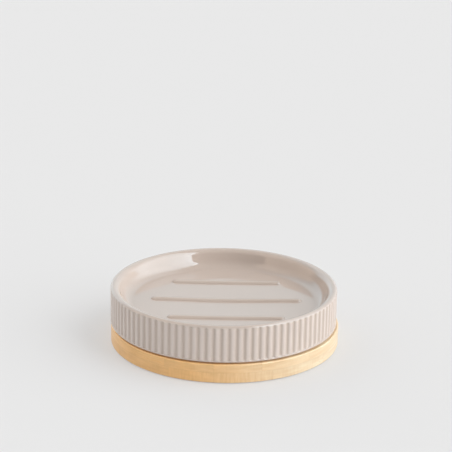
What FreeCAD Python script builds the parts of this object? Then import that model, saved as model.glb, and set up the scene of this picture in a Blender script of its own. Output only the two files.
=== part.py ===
import FreeCAD, Part
import math
import os
import Sketcher

# Soap dish: a round glazed ceramic dish with a reeded wall and three drain ridges,
# standing loose in a turned seat on a bamboo disc. The disc is two plies, each glued up
# from strips side by side, and it stands on four soft pads let into its underside.
# Lengths are in millimetres and angles in degrees. +Z is up and -Y is the front.
# The origin is the centre of the base on the surface that the pads stand on.

# Driving sizes

base_sizes = {
    "base_diameter": 120.0,
    "base_thickness": 10.0,
    "upper_ply_thickness": 4.5,
    "base_edge_round": 0.6,
    "left_strip_width": 5.6,
    "upper_right_strip_width": 16.4,
    "lower_right_strip_width": 9.0,
    "seat_depth": 1.2,
    "seat_clearance": 0.8,
}
pad_sizes = {
    "pad_diameter": 10.0,
    "pad_thickness": 2.0,
    "pad_stand_out": 0.5,
    "pad_pocket_clearance": 0.15,
    "pad_inset": 14.0,
    "pad_edge_round": 0.3,
}
dish_sizes = {
    "ledge_width": 0.4,
    "dish_height": 19.2,
    "left_seat_gap": 0.1,
    "shadow_gap": 0.9,
    "rim_round": 1.65,
    "wall_lean": 18.0,
    "cove_round": 8.0,
    "bowl_depth": 9.3,
    "floor_thickness": 4.3,
    "floor_dip_depth": 0.6,
    "floor_dip_radius": 30.0,
    "ring_inset": 3.6,
    "ring_width": 3.0,
    "hollow_round": 3.0,
    "wall_foot_round": 0.5,
}
reed_sizes = {
    "reed_depth": 0.65,
    "reed_land": 0.7,
    "reed_lip_height": 1.3,
    "reed_turn": -0.85,
}
ridge_sizes = {
    "ridge_width": 5.0,
    "ridge_height": 1.5,
    "ridge_pitch": 25.8,
    "ridge_edge_round": 1.2,
    "middle_ridge_margin": 7.9,
    "back_ridge_margin": 10.65,
    "front_ridge_margin": 9.65,
    "ridges_shift_right": 1.4,
    "ridges_shift_back": 1.5,
}
cut_overrun = {"overrun": 2.0}

# Counts, a share, and how near two levels count as one

inner_strips = 4
reed_count = 96
pad_count = 4
reed_crest_share = 0.75
same_level = Part.Precision.confusion()

# Sizes worked out from the driving ones, as formulas in the same sheet

worked_out = {
    "base_radius": "=base_diameter / 2",
    "base_underside": "=pad_stand_out",
    "base_top": "=base_underside + base_thickness",
    "ply_joint": "=base_top - upper_ply_thickness",
    "left_seam": "=-base_radius + left_strip_width",
    "upper_strip_width":
        f"=(base_diameter - left_strip_width - upper_right_strip_width) / {inner_strips}",
    "lower_strip_width":
        f"=(base_diameter - left_strip_width - lower_right_strip_width) / {inner_strips}",
    "seat_level": "=base_top - seat_depth",
    "base_flat_radius": "=base_radius - base_edge_round",
    "base_lower_edge": "=base_underside + base_edge_round",
    "base_upper_edge": "=base_top - base_edge_round",
    "pad_radius": "=pad_diameter / 2",
    "pad_flat_radius": "=pad_radius - pad_edge_round",
    "pad_pocket_radius": "=pad_radius + pad_pocket_clearance",
    "pad_place": "=(base_radius - pad_inset) * cos(45)",
    "dish_radius": "=base_radius - ledge_width",
    "wall_foot": "=base_top + shadow_gap",
    "wall_foot_edge": "=wall_foot + wall_foot_round",
    "wall_foot_flat_radius": "=dish_radius - wall_foot_round",
    "rim_top": "=wall_foot + dish_height",
    "rim_centre_radius": "=dish_radius - rim_round",
    "rim_centre_level": "=rim_top - rim_round",
    "wall_top_radius": "=rim_centre_radius - rim_round * cos(wall_lean)",
    "wall_top_level": "=rim_centre_level + rim_round * sin(wall_lean)",
    "floor_level": "=rim_top - bowl_depth",
    "cove_centre_level": "=floor_level + cove_round",
    "cove_centre_radius":
        "=wall_top_radius - cove_round / cos(wall_lean)"
        " + tan(wall_lean) * (cove_centre_level - wall_top_level)",
    "cove_top_radius": "=cove_centre_radius + cove_round * cos(wall_lean)",
    "cove_top_level": "=cove_centre_level - cove_round * sin(wall_lean)",
    "dip_level": "=floor_level - floor_dip_depth",
    "dip_round":
        "=(floor_dip_radius * floor_dip_radius + floor_dip_depth * floor_dip_depth)"
        " / (2 * floor_dip_depth)",
    "hollow_top": "=floor_level - floor_thickness",
    "ring_outer_radius": "=dish_radius - ring_inset",
    "ring_inner_radius": "=ring_outer_radius - ring_width",
    "hollow_flat_radius": "=ring_inner_radius - hollow_round",
    "hollow_side_level": "=hollow_top - hollow_round",
    "seat_radius": "=ring_outer_radius + seat_clearance",
    "dish_shift_left": "=seat_clearance - left_seat_gap",
    "reed_foot": "=wall_foot + reed_lip_height",
    "reed_half_width": f"=(2 * pi * dish_radius / {reed_count} - reed_land) / 2",
    "reed_floor_radius": "=dish_radius - reed_depth",
    "reed_slope": "=2 * atan(reed_depth / reed_half_width)",
    "reed_round_sum": "=reed_half_width / sin(reed_slope)",
    "reed_crest_round": f"=reed_round_sum * {reed_crest_share}",
    "reed_valley_round": "=reed_round_sum - reed_crest_round",
    "reed_valley_half_width": "=reed_valley_round * sin(reed_slope)",
    "reed_valley_edge_radius":
        "=reed_floor_radius + reed_valley_round * (1 - cos(reed_slope))",
    "reed_outside_radius": "=dish_radius + overrun",
    "ridge_half_width": "=ridge_width / 2",
    "ridge_top": "=floor_level + ridge_height",
    "ridge_root": "=(hollow_top + dip_level) / 2",
    "outer_chord": "=sqrt(cove_centre_radius * cove_centre_radius - ridge_pitch * ridge_pitch)",
    "middle_ridge_reach": "=cove_centre_radius - middle_ridge_margin - ridge_half_width",
    "back_ridge_reach": "=outer_chord - back_ridge_margin - ridge_half_width",
    "front_ridge_reach": "=outer_chord - front_ridge_margin - ridge_half_width",
}

# Document and sheet

doc = FreeCAD.newDocument("soap_dish")
sheet = doc.addObject("Spreadsheet::Sheet", "sizes")
row = 1
for group in (base_sizes, pad_sizes, dish_sizes, reed_sizes, ridge_sizes, cut_overrun, worked_out):
    for name, content in group.items():
        sheet.set(f"A{row}", name)
        sheet.set(f"B{row}", str(content))
        sheet.setAlias(f"B{row}", name)
        row += 1
doc.recompute()


# Helpers

def size(name):
    """The value of one cell, or nought for "zero". A leading minus turns its sign."""
    if name == "zero":
        return 0.0
    if name.startswith("-"):
        return -float(sheet.get(name[1:]))
    return float(sheet.get(name))


def bind(thing, path, formula):
    """Tie one property of an object to a formula in the sheet's names."""
    thing.setExpression(path, formula)


def origin_plane(body, role):
    """One of a body's own origin planes or axes."""
    return [feature for feature in body.Origin.OriginFeatures if feature.Role == role][0]


def new_body(label):
    """An empty body with its own label."""
    body = doc.addObject("PartDesign::Body", label)
    body.Label = label
    return body


def new_sketch(body, name, role):
    """A sketch lying on one of the body's origin planes."""
    sketch = body.newObject("Sketcher::SketchObject", name)
    sketch.AttachmentSupport = (origin_plane(body, role), "")
    sketch.MapMode = "FlatFace"
    return sketch


def arc_edge(start, end, radius, turn):
    """A minor arc from start to end, turning left for +1 and right for -1."""
    chord = end - start
    rise = math.sqrt(max(radius * radius - (chord.Length / 2) ** 2, 0))
    left = FreeCAD.Vector(-chord.y, chord.x, 0) / chord.Length
    centre = (start + end) / 2 + left * (rise * turn)
    angles = [math.atan2(point.y - centre.y, point.x - centre.x) for point in (start, end)]
    if turn < 0:
        angles.reverse()
    circle = Part.Circle(centre, FreeCAD.Vector(0, 0, 1), radius)
    return Part.ArcOfCircle(circle, angles[0], angles[1])


def place_vertex(sketch, edge, point, axis, name):
    """Hold one coordinate of an edge's end at a cell's value."""
    if name == "zero":
        crossing_axis = -2 if axis == "X" else -1
        sketch.addConstraint(Sketcher.Constraint("PointOnObject", edge, point, crossing_axis))
        return
    kind = "Distance" + axis
    if name.startswith("-"):
        ends = (edge, point, -1, 1)
    else:
        ends = (-1, 1, edge, point)
    number = sketch.addConstraint(Sketcher.Constraint(kind, *ends, abs(size(name))))
    bind(sketch, f"Constraints[{number}]", "sizes." + name.lstrip("-"))


def closed_outline(sketch, corners, arcs):
    """A closed outline through corners, each a pair of cell names.

    arcs says which edges are arcs: the number of the corner that an edge starts from,
    then the cell of its radius and the way it turns."""
    points = [FreeCAD.Vector(size(across), size(up), 0) for across, up in corners]
    first = sketch.GeometryCount
    heads = []
    tails = []
    for number, start in enumerate(points):
        end = points[(number + 1) % len(points)]
        if number in arcs:
            radius_name, turn = arcs[number]
            edge = sketch.addGeometry(arc_edge(start, end, size(radius_name), turn), False)
            head, tail = (1, 2) if turn > 0 else (2, 1)
        else:
            edge = sketch.addGeometry(Part.LineSegment(start, end), False)
            head, tail = 1, 2
        heads.append((edge, head))
        tails.append((edge, tail))
    for number, head in enumerate(heads):
        tail = tails[number - 1]
        sketch.addConstraint(Sketcher.Constraint("Coincident", *tail, *head))
    for (edge, point), (across, up) in zip(heads, corners):
        place_vertex(sketch, edge, point, "X", across)
        place_vertex(sketch, edge, point, "Y", up)
    for number, (radius_name, turn) in arcs.items():
        edge = first + number
        held = sketch.addConstraint(Sketcher.Constraint("Radius", edge, size(radius_name)))
        bind(sketch, f"Constraints[{held}]", "sizes." + radius_name)


def turned(body, name, corners, arcs):
    """A solid of revolution about Z from a half section drawn on the XZ plane."""
    sketch = new_sketch(body, name + "_section", "XZ_Plane")
    closed_outline(sketch, corners, arcs)
    turning = body.newObject("PartDesign::Revolution", name + "_turning")
    turning.Profile = (sketch, [""])
    turning.ReferenceAxis = (sketch, ["V_Axis"])
    turning.Angle = 360
    sketch.Visibility = False
    doc.recompute()
    return turning


def polar(body, name, original, count):
    """Copies of a feature about the body's Z axis."""
    pattern = body.newObject("PartDesign::PolarPattern", name)
    pattern.Originals = [original]
    pattern.Axis = (origin_plane(body, "Z_Axis"), [""])
    pattern.Angle = 360
    pattern.Occurrences = count
    body.Tip = pattern
    doc.recompute()
    return pattern


def volume_fell(body, before, what):
    """Stop if a cut took nothing away."""
    if not body.Shape.Volume < before:
        raise RuntimeError(what + " cut nothing")


# Ceramic dish

def make_dish():
    """The bowl, rim, wall, hollow underside and foot ring in one turned section,
    then the drain ridges and the reeding."""
    body = new_body("dish")
    section = [
        ("zero", "hollow_top"),
        ("hollow_flat_radius", "hollow_top"),
        ("ring_inner_radius", "hollow_side_level"),
        ("ring_inner_radius", "seat_level"),
        ("ring_outer_radius", "seat_level"),
        ("ring_outer_radius", "wall_foot"),
        ("wall_foot_flat_radius", "wall_foot"),
        ("dish_radius", "wall_foot_edge"),
        ("dish_radius", "rim_centre_level"),
        ("wall_top_radius", "wall_top_level"),
        ("cove_top_radius", "cove_top_level"),
        ("cove_centre_radius", "floor_level"),
        ("floor_dip_radius", "floor_level"),
        ("zero", "dip_level"),
    ]
    arcs = {
        1: ("hollow_round", -1),
        6: ("wall_foot_round", 1),
        8: ("rim_round", 1),
        10: ("cove_round", -1),
        12: ("dip_round", -1),
    }
    turned(body, "dish", section, arcs)
    add_ridges(body)
    cut_reeds(body)
    bind(body, ".Placement.Base.x", "-sizes.dish_shift_left")
    return body


def ridge_outline(sketch, reach, row_number):
    """One ridge seen from above: two long sides with half-round ends."""
    first = sketch.GeometryCount
    centre_y = size("ridges_shift_back") + row_number * size("ridge_pitch")
    centre_x = size("ridges_shift_right")
    radius = size("ridge_half_width")
    right = FreeCAD.Vector(centre_x + size(reach), centre_y, 0)
    left = FreeCAD.Vector(centre_x - size(reach), centre_y, 0)
    side = FreeCAD.Vector(0, radius, 0)
    up = FreeCAD.Vector(0, 0, 1)
    quarter = math.pi / 2
    sketch.addGeometry(Part.LineSegment(left - side, right - side), False)
    sketch.addGeometry(Part.ArcOfCircle(Part.Circle(right, up, radius), -quarter, quarter), False)
    sketch.addGeometry(Part.LineSegment(right + side, left + side), False)
    sketch.addGeometry(Part.ArcOfCircle(Part.Circle(left, up, radius), quarter, 3 * quarter), False)
    for number in range(4):
        edge = first + number
        after = first + (number + 1) % 4
        sketch.addConstraint(Sketcher.Constraint("Tangent", edge, 2, after, 1))
    sketch.addConstraint(Sketcher.Constraint("Horizontal", first))
    held = [
        ("Radius", (first + 1,), radius, "sizes.ridge_half_width"),
        ("DistanceX", (first + 3, 3, first + 1, 3), 2 * size(reach), f"2 * sizes.{reach}"),
        ("DistanceX", (-1, 1, first + 1, 3), right.x, f"sizes.ridges_shift_right + sizes.{reach}"),
    ]
    if centre_y > 0:
        place = ("DistanceY", (-1, 1, first + 1, 3), centre_y,
                 f"sizes.ridges_shift_back + {row_number} * sizes.ridge_pitch")
    else:
        place = ("DistanceY", (first + 1, 3, -1, 1), -centre_y,
                 f"{-row_number} * sizes.ridge_pitch - sizes.ridges_shift_back")
    for kind, ends, value, formula in held + [place]:
        number = sketch.addConstraint(Sketcher.Constraint(kind, *ends, value))
        bind(sketch, f"Constraints[{number}]", formula)


def add_ridges(body):
    """The three ridges that hold the soap clear of the water, with rounded tops."""
    sketch = new_sketch(body, "ridge_outlines", "XY_Plane")
    bind(sketch, ".AttachmentOffset.Base.z", "sizes.ridge_root")
    for row_number, reach in ((1, "back_ridge_reach"), (0, "middle_ridge_reach"),
                              (-1, "front_ridge_reach")):
        ridge_outline(sketch, reach, row_number)
    raised = body.newObject("PartDesign::Pad", "ridges")
    raised.Profile = (sketch, [""])
    bind(raised, "Length", "sizes.ridge_top - sizes.ridge_root")
    sketch.Visibility = False
    doc.recompute()
    tops = []
    for number, edge in enumerate(raised.Shape.Edges, 1):
        levels = [vertex.Z for vertex in edge.Vertexes]
        if all(abs(level - size("ridge_top")) < same_level for level in levels):
            tops.append(f"Edge{number}")
    rounding = body.newObject("PartDesign::Fillet", "ridge_rounding")
    rounding.Base = (raised, tops)
    bind(rounding, "Radius", "sizes.ridge_edge_round")
    doc.recompute()


def cut_reeds(body):
    """The fine reeding: one valley between two round-shouldered reeds, cut up the wall
    from a plain lip and out through the rim, then repeated all round."""
    sketch = new_sketch(body, "reed_valley", "XY_Plane")
    bind(sketch, ".AttachmentOffset.Base.z", "sizes.reed_foot")
    sketch.AttachmentOffset.Rotation = FreeCAD.Rotation(FreeCAD.Vector(0, 0, 1), size("reed_turn"))
    bind(sketch, ".AttachmentOffset.Rotation.Angle", "sizes.reed_turn")
    outline = [
        ("dish_radius", "reed_half_width"),
        ("reed_valley_edge_radius", "reed_valley_half_width"),
        ("reed_valley_edge_radius", "-reed_valley_half_width"),
        ("dish_radius", "-reed_half_width"),
        ("reed_outside_radius", "-reed_half_width"),
        ("reed_outside_radius", "reed_half_width"),
    ]
    arcs = {
        0: ("reed_crest_round", -1),
        1: ("reed_valley_round", 1),
        2: ("reed_crest_round", -1),
    }
    closed_outline(sketch, outline, arcs)
    valley = body.newObject("PartDesign::Pocket", "reed_cut")
    valley.Profile = (sketch, [""])
    valley.Reversed = True
    bind(valley, "Length", "sizes.rim_top - sizes.reed_foot + sizes.overrun")
    sketch.Visibility = False
    before = body.Shape.Volume
    doc.recompute()
    volume_fell(body, before, "one reed valley")
    before = body.Shape.Volume
    polar(body, "reeding", valley, reed_count)
    volume_fell(body, before, "the reeding")


# Bamboo base

def make_base_blank():
    """The whole disc before it is told apart into strips: rounded edges, the seat for
    the dish's foot ring and the pockets for the pads."""
    body = new_body("base_blank")
    section = [
        ("zero", "base_underside"),
        ("base_flat_radius", "base_underside"),
        ("base_radius", "base_lower_edge"),
        ("base_radius", "base_upper_edge"),
        ("base_flat_radius", "base_top"),
        ("seat_radius", "base_top"),
        ("seat_radius", "seat_level"),
        ("zero", "seat_level"),
    ]
    arcs = {
        1: ("base_edge_round", 1),
        3: ("base_edge_round", 1),
    }
    turned(body, "base", section, arcs)
    sketch = new_sketch(body, "pad_pocket_outline", "XY_Plane")
    radius = size("pad_pocket_radius")
    centre = FreeCAD.Vector(size("pad_place"), size("pad_place"), 0)
    sketch.addGeometry(Part.Circle(centre, FreeCAD.Vector(0, 0, 1), radius), False)
    held = [
        ("Radius", (0,), radius, "sizes.pad_pocket_radius"),
        ("DistanceX", (-1, 1, 0, 3), centre.x, "sizes.pad_place"),
        ("DistanceY", (-1, 1, 0, 3), centre.y, "sizes.pad_place"),
    ]
    for kind, ends, value, formula in held:
        number = sketch.addConstraint(Sketcher.Constraint(kind, *ends, value))
        bind(sketch, f"Constraints[{number}]", formula)
    pocket = body.newObject("PartDesign::Pocket", "pad_pocket")
    pocket.Profile = (sketch, [""])
    pocket.Reversed = True
    bind(pocket, "Length", "sizes.pad_thickness")
    sketch.Visibility = False
    before = body.Shape.Volume
    doc.recompute()
    volume_fell(body, before, "the first pad pocket")
    polar(body, "pad_pockets", pocket, pad_count)
    return body


def make_strips(blank, ply, low, high):
    """One ply of the disc: a narrow left strip, equal strips between and a right one.

    Both plies have their first seam at the same place, as the photograph shows."""
    strips = []
    width = f"sizes.{ply}_strip_width"
    outside = "(sizes.base_radius + sizes.overrun)"
    for number in range(inner_strips + 2):
        slab = doc.addObject("Part::Box", f"{ply}_slab_{number + 1}")
        left = f"sizes.left_seam + {number - 1} * {width}"
        reach = width
        if number == 0:
            left = "-" + outside
            reach = f"sizes.left_seam + {outside}"
        if number == inner_strips + 1:
            reach = f"{outside} - (sizes.left_seam + {inner_strips} * {width})"
        bind(slab, "Length", reach)
        bind(slab, "Width", f"2 * {outside}")
        bind(slab, "Height", f"{high} - ({low})")
        bind(slab, ".Placement.Base.x", left)
        bind(slab, ".Placement.Base.y", "-" + outside)
        bind(slab, ".Placement.Base.z", low)
        strip = doc.addObject("Part::Common", f"{ply}_strip_{number + 1}")
        strip.Base = blank
        strip.Tool = slab
        strip.Label = f"{ply}_strip_{number + 1}"
        strips.append(strip)
    return strips


# Soft pads

def make_pads():
    """Four soft discs glued in the pockets, standing a little proud of the wood."""
    pads = []
    section = [
        ("zero", "zero"),
        ("pad_flat_radius", "zero"),
        ("pad_radius", "pad_edge_round"),
        ("pad_radius", "pad_thickness"),
        ("zero", "pad_thickness"),
    ]
    names = ("back_right_pad", "back_left_pad", "front_left_pad", "front_right_pad")
    signs = (("", ""), ("-", ""), ("-", "-"), ("", "-"))
    for label, (across, along) in zip(names, signs):
        body = new_body(label)
        turned(body, label, section, {1: ("pad_edge_round", 1)})
        bind(body, ".Placement.Base.x", across + "sizes.pad_place")
        bind(body, ".Placement.Base.y", along + "sizes.pad_place")
        pads.append(body)
    return pads


# Build, check and write

dish = make_dish()
blank = make_base_blank()
lower_strips = make_strips(blank, "lower", "sizes.base_underside - sizes.overrun", "sizes.ply_joint")
upper_strips = make_strips(blank, "upper", "sizes.ply_joint", "sizes.base_top + sizes.overrun")
pads = make_pads()
doc.recompute()

for thing in doc.Objects:
    if "Invalid" in thing.State or "Error" in thing.State:
        raise RuntimeError(f"{thing.Label} failed: {thing.State}")

os.makedirs("parts", exist_ok=True)
for piece in [dish] + lower_strips + upper_strips + pads:
    shape = piece.Shape
    if shape.isNull() or not shape.isValid() or len(shape.Solids) != 1:
        raise RuntimeError(f"{piece.Label} has no single valid solid")
    shape.exportStep(f"parts/{piece.Label}.step")
    print(piece.Label, "volume in cubic mm: %.1f" % shape.Volume)
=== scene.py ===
# %% [markdown]
# # A reeded ceramic soap dish on a bamboo disc
# The dish is one fired piece with a glossy greige glaze: fine reeds run all round its wall
# and three low ridges keep the soap out of the water. It stands loose on a disc that is
# glued up from bamboo strips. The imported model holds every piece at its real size, in
# metres, and this lesson dresses it: the dish is made again with softer, glazed edges, the
# strips and pads keep their shape and get their finish, and a plain studio is set round it.

import math

import bmesh
import bpy
from mathutils import Matrix, Vector
from mathutils.geometry import delaunay_2d_cdt


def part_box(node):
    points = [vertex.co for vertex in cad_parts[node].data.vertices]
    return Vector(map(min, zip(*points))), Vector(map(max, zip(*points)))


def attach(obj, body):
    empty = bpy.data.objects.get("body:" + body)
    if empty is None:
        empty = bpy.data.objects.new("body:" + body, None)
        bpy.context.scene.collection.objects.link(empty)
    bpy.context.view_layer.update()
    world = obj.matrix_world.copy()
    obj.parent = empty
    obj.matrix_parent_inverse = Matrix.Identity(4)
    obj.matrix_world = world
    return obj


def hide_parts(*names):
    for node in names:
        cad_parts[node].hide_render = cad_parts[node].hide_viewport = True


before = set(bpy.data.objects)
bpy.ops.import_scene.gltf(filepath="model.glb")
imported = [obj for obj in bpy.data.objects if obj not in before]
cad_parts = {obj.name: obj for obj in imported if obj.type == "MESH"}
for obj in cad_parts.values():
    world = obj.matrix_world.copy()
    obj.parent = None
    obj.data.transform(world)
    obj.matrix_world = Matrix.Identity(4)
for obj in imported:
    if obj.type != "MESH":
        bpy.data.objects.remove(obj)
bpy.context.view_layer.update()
print("pieces in the frame:", len(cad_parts))

# %% [markdown]
# ## Sizes
# The overall places come from the frame, so the new dish can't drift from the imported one.
# The small sizes that a box doesn't tell, such as rounds and reed depth, are written in
# millimetres where they are first needed, and turned into metres once.

# %% Place and size of the dish
MM = 0.001
dish_low, dish_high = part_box("dish")
dish_x = (dish_low.x + dish_high.x) / 2
dish_radius = (dish_high.x - dish_low.x) / 2
rim_top = dish_high.z
foot_level = dish_low.z
print("dish across", round(2 * dish_radius / MM, 1), "mm, rim at", round(rim_top / MM, 1), "mm")

# %% [markdown]
# ## Node helpers
# Geometry trees and shader trees use the same maths nodes, so a few small functions wire
# both: each adds a node, sets or links its inputs and hands back its output.

# %% Helpers that add nodes
def fill(tree, socket, value):
    """Link a socket to another one, or give it a plain value."""
    if isinstance(value, bpy.types.NodeSocket):
        tree.links.new(value, socket)
    else:
        socket.default_value = value


def add(tree, kind, inputs=None, **settings):
    """One node with its settings and its inputs, named or numbered."""
    node = tree.nodes.new(kind)
    for name, value in settings.items():
        setattr(node, name, value)
    for key, value in (inputs or {}).items():
        fill(tree, node.inputs[key], value)
    return node


def sums(tree, operation, *values):
    """The output of one maths node."""
    node = add(tree, "ShaderNodeMath", operation=operation)
    for socket, value in zip(node.inputs, values):
        fill(tree, socket, value)
    return node.outputs[0]


def mix(tree, share, first, second, kind="RGBA"):
    """Two colours, or with kind FLOAT two numbers, blended by a share."""
    node = add(tree, "ShaderNodeMix", {"Factor": share, "A": first, "B": second}, data_type=kind)
    return node.outputs["Result"]


def ramp(tree, value, start, end, low=0.0, high=1.0):
    """A soft step from low at start to high at end."""
    node = add(tree, "ShaderNodeMapRange",
               {"Value": value, "From Min": start, "From Max": end, "To Min": low, "To Max": high},
               interpolation_type="SMOOTHSTEP")
    return node.outputs["Result"]


def split(tree, vector):
    """The outputs X, Y and Z of a vector."""
    return add(tree, "ShaderNodeSeparateXYZ", {"Vector": vector}).outputs


print("node helpers ready")

# %% Helpers for the surface of a material
def on_piece(tree):
    """Where a point lies on its own piece, in metres."""
    return add(tree, "ShaderNodeTexCoord").outputs["Object"]


def noise(tree, place, scale, detail):
    """A cloudy pattern; its scale is in waves to the metre."""
    node = add(tree, "ShaderNodeTexNoise", {"Vector": place, "Scale": scale, "Detail": detail})
    return node.outputs["Fac"]


def bumped(tree, height, strength, distance):
    """A normal made from a height."""
    node = add(tree, "ShaderNodeBump", {"Height": height, "Strength": strength, "Distance": distance})
    return node.outputs["Normal"]


def new_material(name):
    """An empty node material and its Principled shader."""
    material = bpy.data.materials.new(name)
    material.use_nodes = True
    return material, material.node_tree.nodes["Principled BSDF"]


def speckled(tree, shader, scale, detail, dark, light):
    """Speckle a shader's colour between two others. Hands back the pattern."""
    pattern = noise(tree, on_piece(tree), scale, detail)
    fill(tree, shader.inputs["Base Color"], mix(tree, pattern, dark, light))
    return pattern


print("surface helpers ready")

# %% Helpers that name a tree's inputs and make objects
def name_sockets(tree, inputs, outputs):
    """A tree's named inputs, each with its kind and start value, and its outputs."""
    for name, kind, *start in inputs:
        socket = tree.interface.new_socket(name, in_out="INPUT", socket_type="NodeSocket" + kind)
        if start:
            socket.default_value = start[0]
    for name, kind in outputs:
        tree.interface.new_socket(name, in_out="OUTPUT", socket_type="NodeSocket" + kind)


def new_object(name, points, edges, faces):
    """A mesh object in the scene."""
    mesh = bpy.data.meshes.new(name)
    mesh.from_pydata(points, edges, faces)
    piece = bpy.data.objects.new(name, mesh)
    bpy.context.scene.collection.objects.link(piece)
    return piece


def plain_mesh(piece, name):
    """The piece with its modifiers worked out, as a new closed object facing outwards."""
    depsgraph = bpy.context.evaluated_depsgraph_get()
    mesh = bpy.data.meshes.new_from_object(piece.evaluated_get(depsgraph))
    mesh.name = name
    if mesh.materials[0] is None:  # the slot of the bare outline, which no face uses
        mesh.materials.pop(index=0)
    work = bmesh.new()
    work.from_mesh(mesh)
    bmesh.ops.recalc_face_normals(work, faces=work.faces)
    triangles = sum(len(face.verts) - 2 for face in work.faces)
    open_edges = sum(not edge.is_manifold for edge in work.edges)
    print(name, "has", triangles, "triangles,", open_edges, "open edges and",
          round(work.calc_volume(signed=True) * 1e6, 2), "cubic cm")
    work.to_mesh(mesh)
    work.free()
    made = bpy.data.objects.new(name, mesh)
    bpy.context.scene.collection.objects.link(made)
    bpy.data.objects.remove(piece)
    return made


print("object helpers ready")

# %% [markdown]
# ## Glaze and bare clay
# A glazed pot is a coloured, slightly cloudy body under a clear glassy skin. The glaze runs
# while it is molten: it thins over a sharp edge, which looks paler, and gathers in a groove,
# which looks browner. That is a node group that puts out only a colour and a height, with
# the shares of thin and gathered glaze stored on the mesh. The shader stays in the material.

# %% A group for fired glaze
cloud_scale, speck_scale, peel_scale = 70.0, 900.0, 160.0
cloud_in_pool, least_pool = 0.4, 0.8
cloud_tone, speck_tone, darkest_tone = 0.05, 0.04, 0.955


def glaze_group():
    """Colour and height of a glaze that thins on edges and gathers in hollows."""
    tree = bpy.data.node_groups.new("fired_glaze", "ShaderNodeTree")
    name_sockets(tree, [("Glaze", "Color"), ("Pooled", "Color"), ("Thin", "Color"),
                        ("Pool share", "Float", 0.0), ("Thin share", "Float", 0.0)],
                 [("Color", "Color"), ("Height", "Float")])
    given = add(tree, "NodeGroupInput").outputs
    place = on_piece(tree)
    cloud = noise(tree, place, cloud_scale, detail=3.0)
    speck = noise(tree, place, speck_scale, detail=2.0)
    pool = sums(tree, "MULTIPLY", given["Pool share"],
                sums(tree, "MULTIPLY_ADD", cloud, cloud_in_pool, least_pool))
    thinned = mix(tree, given["Thin share"], given["Glaze"], given["Thin"])
    colour = mix(tree, pool, thinned, given["Pooled"])
    tone = sums(tree, "MULTIPLY_ADD", cloud, cloud_tone, darkest_tone)
    tone = sums(tree, "MULTIPLY_ADD", speck, speck_tone, tone)
    toned = add(tree, "ShaderNodeHueSaturation", {"Color": colour, "Value": tone})
    peel = noise(tree, place, peel_scale, detail=1.0)
    add(tree, "NodeGroupOutput", {"Color": toned.outputs["Color"], "Height": peel})
    return tree


glaze_nodes = glaze_group()
print("group", glaze_nodes.name, "with", len(glaze_nodes.nodes), "nodes")

# %% Materials of the dish
def make_glaze():
    """Glossy greige glaze."""
    material, shader = new_material("greige_glaze")
    tree = material.node_tree
    group = add(tree, "ShaderNodeGroup", node_tree=glaze_nodes)
    for share in ("Pool", "Thin"):
        kept = add(tree, "ShaderNodeAttribute", attribute_name="glaze_" + share.lower())
        fill(tree, group.inputs[share + " share"], kept.outputs["Fac"])
    group.inputs["Glaze"].default_value = (0.6, 0.506, 0.445, 1)
    group.inputs["Pooled"].default_value = (0.572, 0.475, 0.41, 1)
    group.inputs["Thin"].default_value = (0.7, 0.612, 0.558, 1)
    fill(tree, shader.inputs["Base Color"], group.outputs["Color"])
    normal = bumped(tree, group.outputs["Height"], strength=0.2, distance=0.05 * MM)
    fill(tree, shader.inputs["Normal"], normal)
    shader.inputs["Roughness"].default_value = 0.015
    shader.inputs["IOR"].default_value = 1.7
    return material


def make_clay():
    """Bare fired clay, where the foot ring stood on the kiln shelf."""
    material, shader = new_material("bare_clay")
    tree = material.node_tree
    grit = speckled(tree, shader, scale=1500.0, detail=4.0,
                    dark=(0.62, 0.53, 0.43, 1), light=(0.8, 0.72, 0.62, 1))
    fill(tree, shader.inputs["Normal"], bumped(tree, grit, strength=0.4, distance=0.1 * MM))
    shader.inputs["Roughness"].default_value = 0.85
    return material


glaze = make_glaze()
clay = make_clay()
print("materials:", glaze.name, clay.name)

# %% [markdown]
# ## Outline of the dish
# The rim, wall, foot ring and hollow underside follow one outline turned round an axis. It
# could be modelled face by face, but written as arcs and straight runs each round keeps the
# radius that it is given. The outline starts where the bowl's cove meets its floor, climbs
# over the rim, and ends in the middle of the underside.

# %% Sizes of the outline
rim_round = 1.65 * MM
rim_inner_round = 3.5 * MM
wall_lean = math.radians(18)
cove_round = 6.15 * MM
floor_level = rim_top - 9.3 * MM
hollow_top = floor_level - 4.3 * MM
hollow_round = 3 * MM
wall_foot = foot_level + 2.1 * MM
wall_foot_round = 0.35 * MM
ring_outside = dish_radius - 3.6 * MM
ring_inside = ring_outside - 3 * MM
ring_edge_round = 0.4 * MM
reed_foot = wall_foot + 0.9 * MM
rows_below_rim = (0.4, 0.8, 1.2, 8)
rows_at_reed_foot = (0.4, 0.25, 0.1, -0.05, -0.2, -0.35, -0.5)
print("bowl", round((rim_top - floor_level) / MM, 1), "mm deep, floor",
      round((floor_level - hollow_top) / MM, 1), "mm thick")

# %% Draw the outline
def arc(centre, radius, start, end, steps):
    """Points along an arc, angles in degrees from outwards, turning towards up."""
    angles = [math.radians(start + (end - start) * step / steps) for step in range(steps + 1)]
    return [(centre[0] + radius * math.cos(a), centre[1] + radius * math.sin(a)) for a in angles]


lean = math.degrees(wall_lean)
rim_centre = (dish_radius - rim_round, rim_top - rim_round)
inner_centre = (rim_centre[0], rim_top - rim_inner_round)
wall_top = (inner_centre[0] - rim_inner_round * math.cos(wall_lean),
            inner_centre[1] + rim_inner_round * math.sin(wall_lean))
cove_level = floor_level + cove_round
cove_radius = (wall_top[0] - cove_round / math.cos(wall_lean)
               + math.tan(wall_lean) * (cove_level - wall_top[1]))
ring_level = foot_level + ring_edge_round

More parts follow.
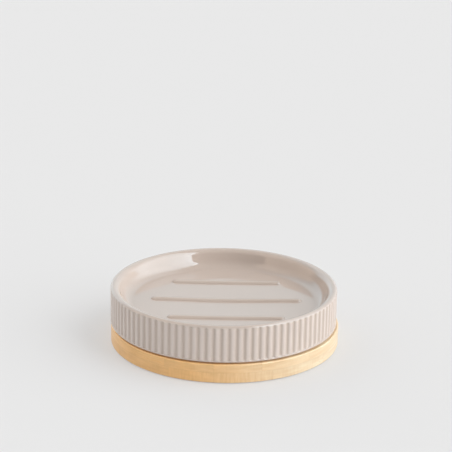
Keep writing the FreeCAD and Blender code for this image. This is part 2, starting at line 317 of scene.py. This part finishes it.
outline = arc((cove_radius, cove_level), cove_round, -90, -lean, 12)
outline += arc(inner_centre, rim_inner_round, 180 - lean, 90, 10)
outline += arc(rim_centre, rim_round, 80, 0, 9)
outline += [(dish_radius, rim_centre[1] - fall * MM) for fall in rows_below_rim]
outline += [(dish_radius, reed_foot + rise * MM) for rise in rows_at_reed_foot]
outline += arc((dish_radius - wall_foot_round, wall_foot + wall_foot_round), wall_foot_round, 0, -90, 4)
outline += [(ring_outside, wall_foot)]
outline += arc((ring_outside - ring_edge_round, ring_level), ring_edge_round, 0, -90, 3)
outline += arc((ring_inside + ring_edge_round, ring_level), ring_edge_round, -90, -180, 3)
outline += arc((ring_inside - hollow_round, hollow_top - hollow_round), hollow_round, 0, 90, 6)
outline += [(ring_inside / 2, hollow_top), (0, hollow_top)]
print("outline points:", len(outline), "cove centre at", round(cove_radius / MM, 2), "mm")

# %% [markdown]
# ## The floor and its ridges
# The three ridges are long bars with round ends, softened by the glaze. Seen from above,
# each one is a set of loops at growing distances from its middle line, and each loop has
# its own height, so the bar gets a gentle crown, a round shoulder and a soft foot. Triangles
# are stretched between those loops, a coarse grid and the ring where the cove begins.

# %% Section of a ridge
ridge_rise = 1.35 * MM
ridge_crown_reach = 0.5 * MM
ridge_crown_round = 4 * MM
ridge_foot_round = 0.4 * MM
ridge_side_angle = math.radians(62)
crown_steps, shoulder_steps, foot_steps = 3, 8, 4


def ridge_section():
    """Distances from a ridge's middle line, each with its share of the full height."""
    crown_lean = math.asin(ridge_crown_reach / ridge_crown_round)
    crown_fall = ridge_crown_round * (1 - math.cos(crown_lean))
    foot_rise = ridge_foot_round * (1 - math.cos(ridge_side_angle))
    shoulder_round = ((ridge_rise - crown_fall - foot_rise)
                      / (math.cos(crown_lean) - math.cos(ridge_side_angle)))
    points = []
    for step in range(crown_steps):
        turn = crown_lean * step / crown_steps
        points.append((ridge_crown_round * math.sin(turn),
                       ridge_rise - ridge_crown_round * (1 - math.cos(turn))))
    for step in range(shoulder_steps):
        turn = crown_lean + (ridge_side_angle - crown_lean) * step / shoulder_steps
        points.append((ridge_crown_reach + shoulder_round * (math.sin(turn) - math.sin(crown_lean)),
                       ridge_rise - crown_fall - shoulder_round * (math.cos(crown_lean) - math.cos(turn))))
    foot_centre = (ridge_crown_reach + shoulder_round * (math.sin(ridge_side_angle) - math.sin(crown_lean))
                   + ridge_foot_round * math.sin(ridge_side_angle))
    for step in range(foot_steps + 1):
        turn = ridge_side_angle * (1 - step / foot_steps)
        points.append((foot_centre - ridge_foot_round * math.sin(turn),
                       ridge_foot_round * (1 - math.cos(turn))))
    return [(distance, height / ridge_rise) for distance, height in points]


section = ridge_section()
print("ridge foot ends", round(section[-1][0] / MM, 2), "mm from its middle line")

# %% Places and loops of the ridges
ridge_pitch = 25.8 * MM
ridge_half_width = 2.5 * MM
ridge_shift = Vector((1.4 * MM, 2.1 * MM))
ridge_end_margins = {-1: 9.65 * MM, 0: 7.9 * MM, 1: 10.65 * MM}
loop_spacing, fewest_sides, end_steps = 1.5 * MM, 8, 16


def ridge_ends(row):
    """The two ends of a ridge's middle line, from the dish's centre."""
    chord = math.sqrt(cove_radius ** 2 - (row * ridge_pitch) ** 2)
    reach = chord - ridge_end_margins[row] - ridge_half_width
    middle = ridge_shift + Vector((0, row * ridge_pitch))
    return middle - Vector((reach, 0)), middle + Vector((reach, 0))


def ridge_loop(left, right, distance):
    """Points round a ridge at one distance from its middle line."""
    sides = max(fewest_sides, round((right - left).length / loop_spacing))
    straight = [left.lerp(right, step / sides) for step in range(1, sides)]
    if distance == 0:
        return [left] + straight + [right]
    turns = [math.pi * step / end_steps - math.pi / 2 for step in range(end_steps + 1)]
    below = [point - Vector((0, distance)) for point in straight]
    above = [point + Vector((0, distance)) for point in reversed(straight)]
    round_right = [right + distance * Vector((math.cos(a), math.sin(a))) for a in turns]
    round_left = [left - distance * Vector((math.cos(a), math.sin(a))) for a in turns]
    return below + round_right + above + round_left


ridges = [ridge_ends(row) for row in (-1, 0, 1)]
print("ridge middle lines:", [round((right - left).length / MM, 1) for left, right in ridges], "mm long")

# %% Plan of the floor
reed_count = 96
columns_per_reed = 10
reed_turn = math.radians(-0.85)
columns = reed_count * columns_per_reed
cove_rings = ((0, 1), (0.5, 2), (1.4, 4), (3.0, 8))
grid_spacing = 2.5 * MM
grid_margin = 4.5 * MM
grid_steps = range(-20, 21)
triangle_height = 0.866
same_point = 1e-7


def distance_to_line(point, left, right):
    """How far a point is from a ridge's middle line."""
    along = min(max(point.x, left.x), right.x)
    return (point - Vector((along, left.y))).length


def floor_plan():
    """The flat plan of the floor: a mesh with each point's share of a ridge's height."""
    points, shares, edges = [], [], []

    def lay(loop, share, closed):
        start = len(points)
        points.extend(loop)
        shares.extend([share] * len(loop))
        edges.extend((start + k, start + k + 1) for k in range(len(loop) - 1))
        if closed:
            edges.append((len(points) - 1, start))

    # Each ring is so many mm inside the cove's edge, with a point for every so many columns.
    for inset, thinning in cove_rings:
        count = columns // thinning
        turns = [reed_turn + math.tau * k / count for k in range(count)]
        radius = cove_radius - inset * MM
        lay([radius * Vector((math.cos(a), math.sin(a))) for a in turns], 0, True)
    for left, right in ridges:
        for distance, share in section:
            lay(ridge_loop(left, right, distance), share, distance > 0)
    clear = section[-1][0] + grid_spacing / 2
    for across in grid_steps:
        for along in grid_steps:
            point = Vector((across + (along % 2) / 2, along * triangle_height)) * grid_spacing
            near = min(distance_to_line(point, left, right) for left, right in ridges)
            if near > clear and point.length < cove_radius - grid_margin:
                points.append(point)
                shares.append(0)
    corners, _, faces, origins, _, _ = delaunay_2d_cdt(points, edges, [], 0, same_point)
    plan = new_object("floor_plan", [(p.x, p.y, 0) for p in corners], [], faces)
    attribute = plan.data.attributes.new("ridge_share", "FLOAT", "POINT")
    for number, came_from in enumerate(origins):
        attribute.data[number].value = shares[came_from[0]]
    return plan


plan = floor_plan()
print("floor plan:", len(plan.data.vertices), "points,", len(plan.data.polygons), "triangles")

# %% [markdown]
# ## Reeds
# A reed is a broad round crest between two narrow round valleys. Ninety-six separate cuts
# would be slow and leave hard edges, so each column of the turned wall works out how far it
# is from the nearest valley and moves inwards by a crest arc or a valley arc. The depth
# fades out at a plain lip below and over the rim above, as it does under a coat of glaze.

# %% How deep the reeding is
reed_depth = 0.65 * MM
reed_land = 0.2 * MM
reed_crest_share = 0.66
foot_fade = (reed_foot - 0.5 * MM, reed_foot + 0.4 * MM)
head_fade = (rim_top - 0.3 * MM, rim_top - 1.7 * MM)
reed_pitch = math.tau * dish_radius / reed_count
reed_half_width = (reed_pitch - reed_land) / 2
reed_slope = 2 * math.atan(reed_depth / reed_half_width)
crest_round = reed_half_width / math.sin(reed_slope) * reed_crest_share
valley_round = reed_half_width / math.sin(reed_slope) * (1 - reed_crest_share)


def fall_of_arc(tree, radius, distance):
    """How far an arc has fallen at a distance from its top."""
    left = sums(tree, "MAXIMUM", sums(tree, "SUBTRACT", radius ** 2,
                                      sums(tree, "MULTIPLY", distance, distance)), 0.0)
    return sums(tree, "SUBTRACT", radius, sums(tree, "SQRT", left))


def reed_depth_nodes(tree, given, column, level):
    """How deep the reeding is at a column and level, and its fade at both ends."""
    turn = sums(tree, "WRAP", sums(tree, "DIVIDE", column, float(columns_per_reed)), 0.5, -0.5)
    off = sums(tree, "ABSOLUTE", sums(tree, "MULTIPLY", turn, reed_pitch))
    into = sums(tree, "MAXIMUM", sums(tree, "SUBTRACT", reed_half_width, off), 0.0)
    crest = fall_of_arc(tree, crest_round, into)
    valley = sums(tree, "SUBTRACT", given["Reed depth"], fall_of_arc(tree, valley_round, off))
    in_valley = sums(tree, "LESS_THAN", off, valley_round * math.sin(reed_slope))
    depth = mix(tree, in_valley, crest, valley, "FLOAT")
    ends = sums(tree, "MULTIPLY", ramp(tree, level, *foot_fade), ramp(tree, level, *head_fade))
    return sums(tree, "MULTIPLY", depth, ends), ends


print("reeds every", round(reed_pitch / MM, 2), "mm, crest round", round(crest_round / MM, 2),
      "mm, valley round", round(valley_round / MM, 2), "mm")

# %% [markdown]
# ## The tree of the dish
# Geometry Nodes turn the outline: a flat grid has one row for each outline point and one
# column for each step round the dish, and every grid point is set where its row and column
# say. The reeds are pressed in on the way, and a soft minimum lets their valleys run out
# over the rim. The floor plan is raised to its dip and ridges, and the two are sewn together.

# %% Start the tree
dip_depth = 0.6 * MM
dip_reach = 40 * MM
dish_tree = bpy.data.node_groups.new("reeded_dish", "GeometryNodeTree")
name_sockets(dish_tree,
             [("Outline", "Geometry"), ("Floor plan", "Object"), ("Radius", "Float", dish_radius),
              ("Reed depth", "Float", reed_depth), ("Dip depth", "Float", dip_depth),
              ("Ridge rise", "Float", ridge_rise)],
             [("Geometry", "Geometry")])
dish_inputs = add(dish_tree, "NodeGroupInput").outputs
print("tree inputs:", [socket.name for socket in dish_inputs if socket.name])

# %% Turn the outline and press the reeds in
valley_softness = 0.2 * MM


def shell_part(tree, given):
    """The outline turned round the axis, with the reeds pressed in."""
    rows = len(outline)
    grid = add(tree, "GeometryNodeMeshGrid", {"Size X": rows - 1.0, "Size Y": float(columns),
                                              "Vertices X": rows, "Vertices Y": columns + 1})
    where = split(tree, add(tree, "GeometryNodeInputPosition").outputs[0])
    row = sums(tree, "ADD", where["X"], (rows - 1) / 2)
    column = sums(tree, "ADD", where["Y"], columns / 2)
    profile = add(tree, "GeometryNodeSampleIndex",
                  {"Geometry": given["Outline"],
                   "Value": add(tree, "GeometryNodeInputPosition").outputs[0],
                   "Index": sums(tree, "ROUND", row)}, data_type="FLOAT_VECTOR")
    point = split(tree, profile.outputs["Value"])
    depth, ends = reed_depth_nodes(tree, given, column, point["Z"])
    wall = sums(tree, "SUBTRACT", given["Radius"], depth)
    radius = sums(tree, "SMOOTH_MIN", point["X"], wall, valley_softness)
    pool = sums(tree, "DIVIDE", sums(tree, "SUBTRACT", point["X"], radius), given["Reed depth"])
    outer = sums(tree, "GREATER_THAN", point["X"], dish_radius - rim_round)
    thin = sums(tree, "MULTIPLY", sums(tree, "MULTIPLY", outer, ends), sums(tree, "SUBTRACT", 1.0, pool))
    angle = sums(tree, "MULTIPLY_ADD", column, math.tau / columns, reed_turn)
    place = add(tree, "ShaderNodeCombineXYZ",
                {"X": sums(tree, "MULTIPLY", radius, sums(tree, "COSINE", angle)),
                 "Y": sums(tree, "MULTIPLY", radius, sums(tree, "SINE", angle)), "Z": point["Z"]})
    kept = grid.outputs["Mesh"]
    for name, value in (("glaze_pool", pool), ("glaze_thin", thin)):
        kept = add(tree, "GeometryNodeStoreNamedAttribute", {"Geometry": kept, "Name": name, "Value": value},
                   data_type="FLOAT", domain="POINT").outputs[0]
    return add(tree, "GeometryNodeSetPosition", {"Geometry": kept, "Position": place.outputs[0]}).outputs[0]


shell = shell_part(dish_tree, dish_inputs)
print("nodes with the shell:", len(dish_tree.nodes))

# %% Raise the floor
def floor_part(tree, given):
    """The floor plan raised to the floor's dip and the ridges' tops."""
    laid = add(tree, "GeometryNodeObjectInfo", {"Object": given["Floor plan"]}).outputs["Geometry"]
    where = add(tree, "GeometryNodeInputPosition").outputs[0]
    flat = split(tree, where)
    length = add(tree, "ShaderNodeVectorMath", {0: where}, operation="LENGTH").outputs["Value"]
    reach = sums(tree, "MINIMUM", sums(tree, "DIVIDE", length, dip_reach), 1.0)
    wave = sums(tree, "COSINE", sums(tree, "MULTIPLY", reach, math.pi / 2))
    dip = sums(tree, "MULTIPLY", sums(tree, "MULTIPLY", wave, wave), given["Dip depth"])
    share = add(tree, "GeometryNodeInputNamedAttribute", {"Name": "ridge_share"},
                data_type="FLOAT").outputs["Attribute"]
    rise = sums(tree, "MULTIPLY", share, given["Ridge rise"])
    level = sums(tree, "ADD", sums(tree, "SUBTRACT", floor_level, dip), rise)
    place = add(tree, "ShaderNodeCombineXYZ", {"X": flat["X"], "Y": flat["Y"], "Z": level})
    return add(tree, "GeometryNodeSetPosition", {"Geometry": laid, "Position": place.outputs[0]}).outputs[0]


bowl_floor = floor_part(dish_tree, dish_inputs)
print("nodes with the floor:", len(dish_tree.nodes))

# %% Sew the two together and glaze them
sewing_gap = 0.002 * MM


def finish_tree(tree, parts):
    """Sew the parts, set them in their place, and glaze all but the foot ring's underside."""
    both = add(tree, "GeometryNodeJoinGeometry")
    for part in parts:
        tree.links.new(part, both.inputs[0])
    sewn = add(tree, "GeometryNodeMergeByDistance", {"Geometry": both.outputs[0], "Distance": sewing_gap})
    moved = add(tree, "GeometryNodeTransform", {"Geometry": sewn.outputs[0], "Translation": (dish_x, 0, 0)})
    smooth = add(tree, "GeometryNodeSetShadeSmooth", {"Geometry": moved.outputs[0]})
    real = add(tree, "GeometryNodeRealizeInstances", {"Geometry": smooth.outputs[0]})
    glazed = add(tree, "GeometryNodeSetMaterial", {"Geometry": real.outputs[0], "Material": glaze})
    height = split(tree, add(tree, "GeometryNodeInputPosition").outputs[0])["Z"]
    low = sums(tree, "LESS_THAN", height, ring_level)
    bare = add(tree, "GeometryNodeSetMaterial",
               {"Geometry": glazed.outputs[0], "Selection": low, "Material": clay})
    add(tree, "NodeGroupOutput", {"Geometry": bare.outputs[0]})


finish_tree(dish_tree, (shell, bowl_floor))
print("tree", dish_tree.name, "with", len(dish_tree.nodes), "nodes")

# %% [markdown]
# ## The glazed dish
# The tree works on an object that holds only the outline, and gets the floor plan as its
# other input. Its result is turned into one plain closed mesh, because a modifier doesn't
# travel with an exported model. That mesh rides on the body that lifts off, and takes the
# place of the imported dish, whose edges are harder than glaze leaves them.

# %% Make the dish
def make_dish():
    """The glazed dish as one closed mesh."""
    points = [(radius, 0, level) for radius, level in outline]
    edges = [(number, number + 1) for number in range(len(points) - 1)]
    base = new_object("dish_outline", points, edges, [])
    modifier = base.modifiers.new("turn_and_reed", "NODES")
    modifier.node_group = dish_tree
    for socket in dish_tree.interface.items_tree:
        if socket.name == "Floor plan":
            modifier[socket.identifier] = plan
    return plain_mesh(base, "reeded_dish")


reeded_dish = make_dish()
bpy.data.objects.remove(plan)
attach(reeded_dish, "dish")
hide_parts("dish")
print("material slots:", [m and m.name for m in reeded_dish.data.materials],
      "used:", sorted({face.material_index for face in reeded_dish.data.polygons}))

# %% [markdown]
# ## Bamboo
# Bamboo is a bundle of straight fibres. Along the grain they show as long fine lines, and
# where a strip is cut across they show as dots and short strokes. One solid pattern that is
# stretched along the strips' length gives both, because the disc's turned edge cuts it at
# every angle. The fibres darken towards their own browner colour.

# %% A group for bamboo
fibre_waves, layer_waves, broad_waves = (950, 30, 130), (120, 12, 800), (110, 5, 170)
noise_low, noise_high = 0.32, 0.68
fine_share, broad_share = 0.65, 0.35
broad_in_tone_and_painted_light = 0.08
glue_darkening, edge_highlight_strength = 0.05, 0.12
smoothest, rough_spread = 0.26, 0.15


def bamboo_group():
    """Colour, roughness and height of bamboo with its fibres along Y."""
    tree = bpy.data.node_groups.new("bamboo_grain", "ShaderNodeTree")
    name_sockets(tree, [("Warm", "Color"), ("Pale", "Color"), ("Pale share", "Float", 0.5),
                        ("Fibre", "Color"), ("Fibre share", "Float", 0.55), ("Pattern place", "Vector"),
                        ("Upright share", "Float", 0.5), ("Glue share", "Float", 0.0),
                        ("Edge share", "Float", 0.0)],
                 [("Color", "Color"), ("Roughness", "Float"), ("Height", "Float")])
    given = add(tree, "NodeGroupInput").outputs
    moved = add(tree, "ShaderNodeVectorMath", {0: on_piece(tree), 1: given["Pattern place"]},
                operation="ADD").outputs[0]

    def stretched(waves, detail):
        spread = add(tree, "ShaderNodeMapping", {"Vector": moved, "Scale": waves}).outputs[0]
        even = add(tree, "ShaderNodeMapRange", {"Value": noise(tree, spread, 1.0, detail),
                                                "From Min": noise_low, "From Max": noise_high})
        return even.outputs["Result"]

    fibres = stretched(fibre_waves, detail=2.0)
    layers = stretched(layer_waves, detail=2.0)
    broad = stretched(broad_waves, detail=1.0)
    fine = mix(tree, given["Upright share"], layers, fibres, "FLOAT")
    grain = sums(tree, "MULTIPLY_ADD", fine, fine_share, sums(tree, "MULTIPLY", broad, broad_share))
    # The share of the pale colour is painted light from the right, with a random broad tone in it.
    tone_and_painted_light = sums(tree, "MULTIPLY_ADD", sums(tree, "SUBTRACT", broad, 0.5), broad_in_tone_and_painted_light,
                    given["Pale share"])
    colour = mix(tree, tone_and_painted_light, given["Warm"], given["Pale"])
    streak = sums(tree, "MULTIPLY", grain, given["Fibre share"])
    glue = sums(tree, "SUBTRACT", 1.0, sums(tree, "MULTIPLY", given["Glue share"], glue_darkening))
    # The edge share adds a painted highlight along the top edge.
    tone = sums(tree, "MULTIPLY_ADD", given["Edge share"], edge_highlight_strength, glue)
    toned = add(tree, "ShaderNodeHueSaturation",
                {"Color": mix(tree, streak, colour, given["Fibre"]), "Value": tone})
    roughness = sums(tree, "MULTIPLY_ADD", grain, rough_spread, smoothest)
    add(tree, "NodeGroupOutput", {"Color": toned.outputs["Color"], "Roughness": roughness, "Height": fine})
    return tree


bamboo_nodes = bamboo_group()
print("group", bamboo_nodes.name, "with", len(bamboo_nodes.nodes), "nodes")

# %% [markdown]
# ## The strips
# Every strip is cut from another part of a stalk, so each has its own tone and its own part
# of the pattern. The disc is painted from warm at the left to pale at the right, which is
# painted light from the bright card on the right. Near the middle its edge is cut straight
# across the fibres, which show there as short upright strokes, most of all on the lower ply.
# A thin dark line marks the glue where strips meet, and a painted highlight pales the top edge.

# %% Measure the disc and choose the strips' tones
# The pale colour and the shares below paint light: the strips get paler towards the bright card on the
# right.
painted_lit_bamboo, warm_bamboo = (0.83, 0.76, 0.585, 1), (0.97, 0.59, 0.25, 1)
fibre_bamboo = (0.66, 0.36, 0.12, 1)
disc_low, disc_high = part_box("lower_strip_1")[0].x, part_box("lower_strip_6")[1].x
joint_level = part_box("upper_strip_2")[0].z
disc_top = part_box("upper_strip_2")[1].z
glue_width = 0.15 * MM
# A painted highlight along the top edge, this deep.
painted_highlight_band = 0.5 * MM
painted_light_start, painted_light_full = 0.45 * disc_low, 0.8 * disc_high
most_painted_light = {"upper": 0.78, "lower": 0.88}
most_upright = {"upper": 0.3, "lower": 0.9}
own_spread, own_step = 0.03, 1.7
pattern_step = (0.037, 0.11, 0.053)
print("disc across", round((disc_high - disc_low) / MM, 1), "mm, plies meet at",
      round(joint_level / MM, 1), "mm, top at", round(disc_top / MM, 1), "mm")

# %% Give each strip its bamboo
def glue_mask(tree, place, low, high):
    """One near the faces where a strip meets its neighbours, nought elsewhere."""
    mask = 0.0
    for axis, limit in (("X", low.x), ("X", high.x), ("Z", joint_level)):
        near = sums(tree, "ABSOLUTE", sums(tree, "SUBTRACT", place[axis], limit))
        mask = sums(tree, "MAXIMUM", mask, sums(tree, "LESS_THAN", near, glue_width))
    return mask


def make_bamboo(name, number, low, high):
    """The material of one strip: its painted light and painted edge highlight, its own tone and its own part
    of the pattern.
    """
    material, shader = new_material("bamboo_" + name)
    tree = material.node_tree
    place = split(tree, on_piece(tree))
    ply = name.split("_")[0]
    own = own_spread * math.sin(own_step * number)
    middle = 1 - abs((low.x + high.x) / 2) / disc_high
    group = add(tree, "ShaderNodeGroup", {
        # Painted light: the share of the pale colour rises towards the right.
        "Pale share": ramp(tree, place["X"], painted_light_start, painted_light_full, own, most_painted_light[ply] + own),
        "Glue share": glue_mask(tree, place, low, high),
        # A painted highlight along the top edge.
        "Edge share": sums(tree, "GREATER_THAN", place["Z"], disc_top - painted_highlight_band),
        "Warm": warm_bamboo, "Pale": painted_lit_bamboo, "Fibre": fibre_bamboo,
        "Upright share": middle * most_upright[ply],
        "Pattern place": tuple(step * number for step in pattern_step),
    }, node_tree=bamboo_nodes)
    fill(tree, shader.inputs["Base Color"], group.outputs["Color"])
    fill(tree, shader.inputs["Roughness"], group.outputs["Roughness"])
    normal = bumped(tree, group.outputs["Height"], strength=0.3, distance=0.05 * MM)
    fill(tree, shader.inputs["Normal"], normal)
    shader.inputs["IOR"].default_value = 1.55
    return material


def dress(name, material):
    """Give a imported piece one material."""
    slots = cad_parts[name].data.materials
    slots.clear()
    slots.append(material)


strips = sorted(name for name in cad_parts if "strip" in name)
for number, name in enumerate(strips):
    dress(name, make_bamboo(name, number, *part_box(name)))
print("strips with bamboo:", len(strips))

# %% [markdown]
# ## Soft pads
# The feet are clear silicone discs. They are milky rather than glass clear, so a pale body
# with light scattered under its skin and a dull surface is enough.

# %% Give the pads their silicone
def make_silicone():
    """Milky soft silicone."""
    material, shader = new_material("soft_silicone")
    speckled(material.node_tree, shader, scale=1200.0, detail=3.0,
             dark=(0.62, 0.62, 0.6, 1), light=(0.7, 0.7, 0.68, 1))
    shader.inputs["Roughness"].default_value = 0.45
    shader.inputs["Subsurface Weight"].default_value = 0.4
    shader.inputs["Subsurface Scale"].default_value = 1 * MM
    return material


silicone = make_silicone()
pads = [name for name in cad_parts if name.endswith("_pad")]
for name in pads:
    dress(name, silicone)
print("pads with silicone:", len(pads))

# %% [markdown]
# ## The sheet that it stands on
# The photograph has a seamless pale sheet. Here it is a very wide flat one. Half of what is
# seen of it, also in a mirroring surface, is an even grey of its own, which keeps it level
# across the picture, and the other half is lit, which keeps the dish's shadow.

# %% Floor
sheet_half = 30.0
sheet_grey = (0.8, 0.8, 0.8, 1)
even_share = 0.5


def seen_by(tree, path, *rays):
    """One for the named kinds of ray, nought for all others."""
    seen = path.outputs[rays[0]]
    for ray in rays[1:]:
        seen = sums(tree, "MAXIMUM", seen, path.outputs[ray])
    return seen


def make_floor():
    """A wide pale sheet under the dish."""
    corners = [(x * sheet_half, y * sheet_half, 0) for x, y in ((-1, -1), (1, -1), (1, 1), (-1, 1))]
    floor = new_object("floor", corners, [], [(0, 1, 2, 3)])
    material, shader = new_material("pale_sheet")
    tree = material.node_tree
    shader.inputs["Base Color"].default_value = sheet_grey
    shader.inputs["Roughness"].default_value = 1
    shader.inputs["Specular IOR Level"].default_value = 0
    even = add(tree, "ShaderNodeEmission", {"Color": sheet_grey})
    seen = seen_by(tree, add(tree, "ShaderNodeLightPath"),
                   "Is Camera Ray", "Is Glossy Ray", "Is Transmission Ray")
    both = add(tree, "ShaderNodeMixShader", {0: sums(tree, "MULTIPLY", seen, even_share),
                                             1: shader.outputs[0], 2: even.outputs[0]})
    fill(tree, tree.nodes["Material Output"].inputs["Surface"], both.outputs[0])
    floor.data.materials.append(material)
    return floor


floor = make_floor()

# %% [markdown]
# ## Studio light
# A glossy glaze mirrors the whole studio, so lamps alone would leave it black and spotted.
# There are no lamps here: the world is painted by direction, and that paint is both the
# light and the reflections. X is right, Y is back and Z is up. A tall card stands on each
# side, the bright one on the right. The pale sheet is behind, and the dim room is in front
# and overhead.

# %% Helpers that paint by direction
card_softness = 0.03
nearly_nought = 0.001
world = bpy.data.worlds.new("studio")
world.use_nodes = True
sky = world.node_tree
sky.nodes.clear()
x, y, z = split(sky, add(sky, "ShaderNodeTexCoord").outputs["Generated"])


def soft(value, edge, width):
    """A soft step, half done at the edge. A width below nought turns it round."""
    return ramp(sky, value, edge - width, edge + width)


def blend(share, first, second):
    """Two strengths of light blended by a share."""
    return mix(sky, share, first, second, "FLOAT")


def upright_card(side, front, back, top):
    """A tall card at a distance of one: places along and above it, and its mask."""
    out = sums(sky, "MULTIPLY", x, side)
    safe = sums(sky, "MAXIMUM", out, nearly_nought)
    along = sums(sky, "DIVIDE", y, safe)
    above = sums(sky, "DIVIDE", z, safe)
    mask = sums(sky, "MULTIPLY", soft(along, front, card_softness), soft(along, back, -2 * card_softness))
    mask = sums(sky, "MULTIPLY", mask, soft(above, top, -card_softness))
    return along, above, sums(sky, "MULTIPLY", mask, sums(sky, "GREATER_THAN", out, nearly_nought))


print("directions split with", len(sky.nodes), "nodes")

# %% Paint the room, the left card and the sheet behind
room_glow = {"front_left": 0.11, "front_right": 0.31, "top": 0.34, "left": 1.2}
sheet_glow = {"behind": 0.88, "above": 0.89, "left": 1.4}
ceiling_edge = (0.82, 0.1)
room_middle = (0.0, 0.6)
sheet_edge, upper_sheet_edge = (0.15, 0.2), (0.6, 0.1)
lit_slope_x, lit_slope_y = 0.8, 1.6
lit_slope_edge, lit_left_edge = (0.0, 0.05), (-0.2, -0.15)

glow = blend(soft(x, *room_middle), room_glow["front_left"], room_glow["front_right"])
overhead = soft(z, *ceiling_edge)
glow = blend(overhead, glow, room_glow["top"])
_, _, left_card = upright_card(-1.0, front=-0.93, back=0.58, top=2.2)
glow = blend(left_card, glow, room_glow["left"])

behind = soft(y, *sheet_edge)
for hidden in (overhead, left_card):
    behind = sums(sky, "MULTIPLY", behind, sums(sky, "SUBTRACT", 1.0, hidden))
slope = sums(sky, "SUBTRACT", sums(sky, "MULTIPLY_ADD", x, lit_slope_x,
                                   sums(sky, "MULTIPLY", y, lit_slope_y)), z)
lit_side = sums(sky, "MULTIPLY", soft(slope, *lit_slope_edge), soft(x, *lit_left_edge))
sheet = blend(soft(z, *upper_sheet_edge), sheet_glow["behind"], sheet_glow["above"])
glow = blend(behind, glow, blend(lit_side, sheet, sheet_glow["left"]))
print("room, left card and sheet painted:", len(sky.nodes), "nodes")

# %% Paint the key card
key_glow = {"front": 3.8, "middle": 2.42, "back": 0.64, "edge": 0.6}
key_front, key_back, key_top = -1.31, 1.2, 2.3
front_to_middle, middle_to_back = (-0.6, 0.5), (0.5, 0.4)
front_band, top_band, band_end = (key_front + 0.2, -0.15), (key_top - 0.15, 0.1), (0.6, -0.5)

along, above, key_card = upright_card(1.0, key_front, key_back, key_top)
key = blend(soft(along, *front_to_middle), key_glow["front"], key_glow["middle"])
key = blend(soft(along, *middle_to_back), key, key_glow["back"])
bright_edge = sums(sky, "MAXIMUM", soft(along, *front_band), soft(above, *top_band))
bright_edge = sums(sky, "MULTIPLY", bright_edge, soft(along, *band_end))
key = sums(sky, "MULTIPLY_ADD", bright_edge, key_glow["edge"], key)
glow = blend(key_card, glow, key)
print("key card painted:", len(sky.nodes), "nodes")

# %% Tint what the glaze mirrors and hang the world
mirror_tint = {"room": (1.25, 1.0, 0.8, 1), "sheet": (0.84, 1.0, 1.08, 1), "key": (0.97, 1.14, 1.24, 1)}


def hang_world():
    """Mirrored in a gloss the room is warm, and the sheet and the key card are cool. On a
    dull surface all of it is neutral. The camera, and what shows through a clear piece, get
    the plain grey of the sheet."""
    path = add(sky, "ShaderNodeLightPath")
    tint = mix(sky, behind, mirror_tint["room"], mirror_tint["sheet"])
    tint = mix(sky, key_card, tint, mirror_tint["key"])
    tint = mix(sky, path.outputs["Is Glossy Ray"], (1, 1, 1, 1), tint)
    light = add(sky, "ShaderNodeBackground", {"Color": tint, "Strength": glow})
    plain = add(sky, "ShaderNodeBackground", {"Color": sheet_grey, "Strength": 1.0})
    seen = seen_by(sky, path, "Is Camera Ray", "Is Transmission Ray")
    both = add(sky, "ShaderNodeMixShader", {0: seen, 1: light.outputs[0], 2: plain.outputs[0]})
    add(sky, "ShaderNodeOutputWorld", {"Surface": both.outputs[0]})
    bpy.context.scene.world = world


hang_world()
print("world", world.name, "with", len(sky.nodes), "nodes")

# %% [markdown]
# ## Camera
# The lens and place were worked out from the outlines in the photograph: a long lens about
# a metre away, looking down at the dish, with a slight roll. The focal length is first told
# in pixels, as the outlines are, and then turned into millimetres of film.

# %% Camera
focal_pixels, picture_pixels, film_width = 1850, 452, 36
camera_distance = 984 * MM
camera_x = -0.15 * MM
height_angle = math.radians(22.25)
look_down = math.radians(18.76)
roll = math.radians(0.95)


def make_camera():
    """The camera of the photograph."""
    lens = bpy.data.cameras.new("camera")
    lens.sensor_width = film_width
    lens.lens = focal_pixels / picture_pixels * film_width
    camera = bpy.data.objects.new("camera", lens)
    turn = Matrix.Rotation(math.pi / 2 - look_down, 4, "X") @ Matrix.Rotation(roll, 4, "Z")
    place = Vector((camera_x, -camera_distance * math.cos(height_angle),
                    camera_distance * math.sin(height_angle)))
    camera.matrix_world = Matrix.Translation(place) @ turn
    bpy.context.scene.collection.objects.link(camera)
    bpy.context.scene.camera = camera
    return camera


camera = make_camera()
bpy.context.scene.view_settings.view_transform = "Standard"
print("lens", round(camera.data.lens, 1), "mm")
